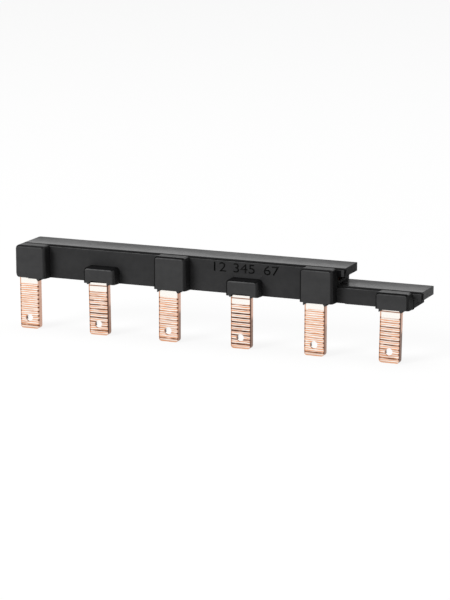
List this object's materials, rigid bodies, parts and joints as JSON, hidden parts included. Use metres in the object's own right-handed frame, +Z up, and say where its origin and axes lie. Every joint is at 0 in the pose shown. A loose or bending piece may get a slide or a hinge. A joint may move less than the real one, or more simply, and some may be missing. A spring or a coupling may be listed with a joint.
{
  "type": "comb busbar",
  "caption": "Two-pole comb busbar: a stepped black insulating rail with front bosses and a row of flat, grooved copper tags that hang down to feed modular devices.",
  "frame": {"origin": "centre of the bounding box at the level of the tag tips", "axes": "+X along the rail towards its stepped end, +Y from the bosses to the back, +Z up from the tag tips to the rail"},
  "size_m": [0.0988, 0.0112, 0.02],
  "materials": {
    "cover": "fine matt moulded",
    "carrier": "satin moulded",
    "copper": "bright bare copper"
  },
  "bodies": {
    "root": {"front_cover": "cover", "lower_carrier": "carrier", "upper_carrier": "carrier", "lower_comb": "copper", "upper_comb": "copper"}
  },
  "joints": []
}
